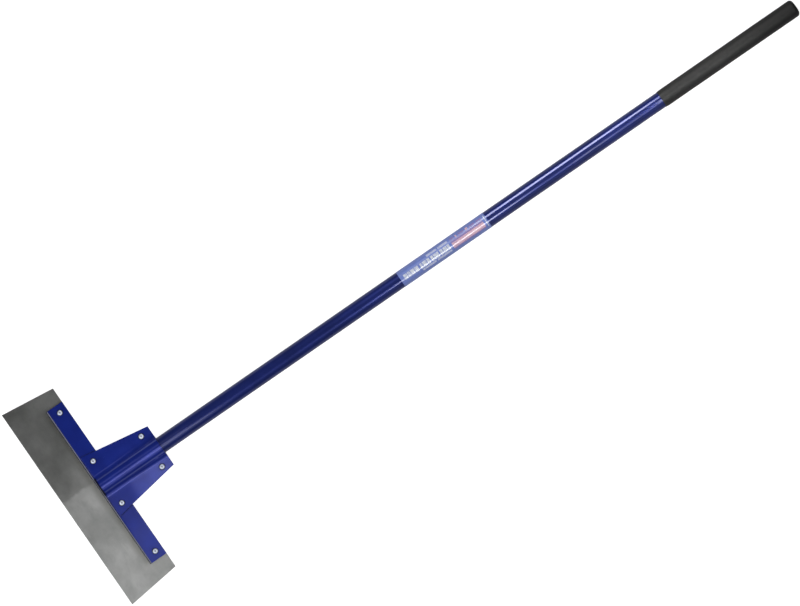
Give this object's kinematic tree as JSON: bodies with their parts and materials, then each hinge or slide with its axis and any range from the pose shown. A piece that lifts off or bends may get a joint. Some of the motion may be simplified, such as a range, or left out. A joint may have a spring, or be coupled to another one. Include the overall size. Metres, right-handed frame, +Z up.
{
  "type": "long-handled floor scraper",
  "caption": "Wide flat steel scraping blade riveted between pressed blue sheet-steel shells on a long blue steel tube handle with a closed black rubber grip.",
  "frame": {"origin": "middle of the whole tool's footprint, on the surface that it lies on, straight under the axis of the tube", "axes": "+X along the tube from the cutting edge to the grip, +Y across the blade, +Z up, out of the front face that shows the rivet heads"},
  "size_m": [1.54, 0.4, 0.0343],
  "materials": {
    "blade_steel": "cold-rolled and lightly ground, satin",
    "blue_paint": "glossy dark blue powder coat with a slight orange peel",
    "rivet_aluminium": "bright, lightly matt",
    "mandrel_steel": "broken end, dull",
    "label_film": "satin printed film",
    "grip_rubber": "matt black with a fine grain"
  },
  "bodies": {
    "root": {"blade": "blade_steel", "front_strip": "blue_paint", "back_strip": "blue_paint", "front_shell": "blue_paint", "back_shell": "blue_paint", "tube": "blue_paint", "grip": "grip_rubber", "label": "label_film", "outer_rivet_left": "rivet_aluminium", "outer_rivet_right": "rivet_aluminium", "inner_rivet_left": "rivet_aluminium", "inner_rivet_right": "rivet_aluminium", "upper_rivet_left": "rivet_aluminium", "upper_rivet_right": "rivet_aluminium", "outer_mandrel_left": "mandrel_steel", "outer_mandrel_right": "mandrel_steel", "inner_mandrel_left": "mandrel_steel", "inner_mandrel_right": "mandrel_steel", "upper_mandrel_left": "mandrel_steel", "upper_mandrel_right": "mandrel_steel"}
  },
  "joints": []
}
